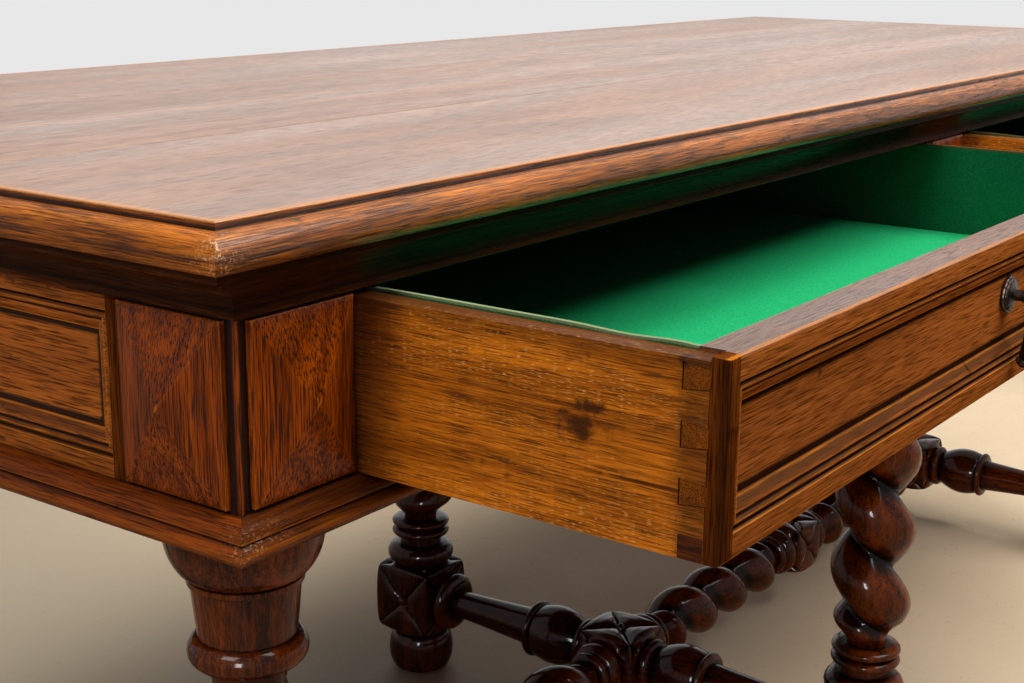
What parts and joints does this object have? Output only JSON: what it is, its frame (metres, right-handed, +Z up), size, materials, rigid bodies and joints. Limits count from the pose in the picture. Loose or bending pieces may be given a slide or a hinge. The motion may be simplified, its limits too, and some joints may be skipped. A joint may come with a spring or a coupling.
{
  "type": "library table",
  "caption": "Long oak library table with twisted legs and stretchers, a moulded apron with pyramid blocks, and felt-lined drawers with drop pulls.",
  "frame": {"origin": "on the floor, under the middle of the box that holds the table with its drawers as they stand open", "axes": "+X along the long side, +Y from the drawer side to the back, +Z up"},
  "size_m": [1.8798, 0.9324, 0.77],
  "materials": {
    "top_oak": "waxed, worn satin",
    "apron_oak": "dark stained and waxed",
    "turned_oak": "dark stained, polished",
    "drawer_oak": "golden, lightly waxed",
    "inner_oak": "bare wood inside the carcase",
    "felt": "green wool felt",
    "bronze": "dark patinated"
  },
  "bodies": {
    "table": {"back_panel_left": "apron_oak", "back_panel_right": "apron_oak", "base_moulding_back": "apron_oak", "base_moulding_front": "apron_oak", "base_moulding_left": "apron_oak", "base_moulding_right": "apron_oak", "centre_block_back": "apron_oak", "centre_block_front": "apron_oak", "corner_block_back_left": "apron_oak", "corner_block_back_right": "apron_oak", "corner_block_front_left": "apron_oak", "corner_block_front_right": "apron_oak", "cornice_back": "apron_oak", "cornice_front": "apron_oak", "cornice_left": "apron_oak", "cornice_right": "apron_oak", "cross_stretcher_centre": "turned_oak", "cross_stretcher_left": "turned_oak", "cross_stretcher_right": "turned_oak", "drawer_guide_left_inner": "inner_oak", "drawer_guide_left_outer": "inner_oak", "drawer_guide_right_inner": "inner_oak", "drawer_guide_right_outer": "inner_oak", "dust_board_left": "inner_oak", "dust_board_right": "inner_oak", "end_panel_left": "apron_oak", "end_panel_right": "apron_oak", "leg_back_centre": "turned_oak", "leg_back_left": "turned_oak", "leg_back_right": "turned_oak", "leg_front_centre": "turned_oak", "leg_front_left": "turned_oak", "leg_front_right": "turned_oak", "long_stretcher_left": "turned_oak", "long_stretcher_right": "turned_oak", "partition": "inner_oak", "top_board_back": "top_oak", "top_board_front": "top_oak", "top_board_middle": "top_oak"},
    "left_drawer": {"drawer_left_front": "apron_oak", "drawer_left_side_left": "drawer_oak", "drawer_left_side_right": "drawer_oak", "drawer_left_back": "drawer_oak", "drawer_left_bottom": "drawer_oak", "drawer_left_felt": "felt", "pull_left_plate": "bronze"},
    "right_drawer": {"drawer_right_front": "apron_oak", "drawer_right_side_left": "drawer_oak", "drawer_right_side_right": "drawer_oak", "drawer_right_back": "drawer_oak", "drawer_right_bottom": "drawer_oak", "drawer_right_felt": "felt", "pull_right_plate": "bronze"},
    "left_pull": {"pull_left_drop": "bronze", "pull_left_pin": "bronze"},
    "right_pull": {"pull_right_drop": "bronze", "pull_right_pin": "bronze"}
  },
  "joints": [
    {"name": "left_drawer_slide", "type": "slide", "parent": "table", "child": "left_drawer", "axis": [0, -1, 0], "range_m": [-0.2176, 0.2]},
    {"name": "right_drawer_slide", "type": "slide", "parent": "table", "child": "right_drawer", "axis": [0, -1, 0], "range_m": [-0.12, 0.2976]},
    {"name": "left_pull_swing", "type": "hinge", "parent": "left_drawer", "child": "left_pull", "pos_m": [-0.43212, -0.4577, 0.6765], "axis": [-1, 0, 0], "range_deg": [0, 85]},
    {"name": "right_pull_swing", "type": "hinge", "parent": "right_drawer", "child": "right_pull", "pos_m": [0.43212, -0.3601, 0.6765], "axis": [-1, 0, 0], "range_deg": [0, 85]}
  ]
}
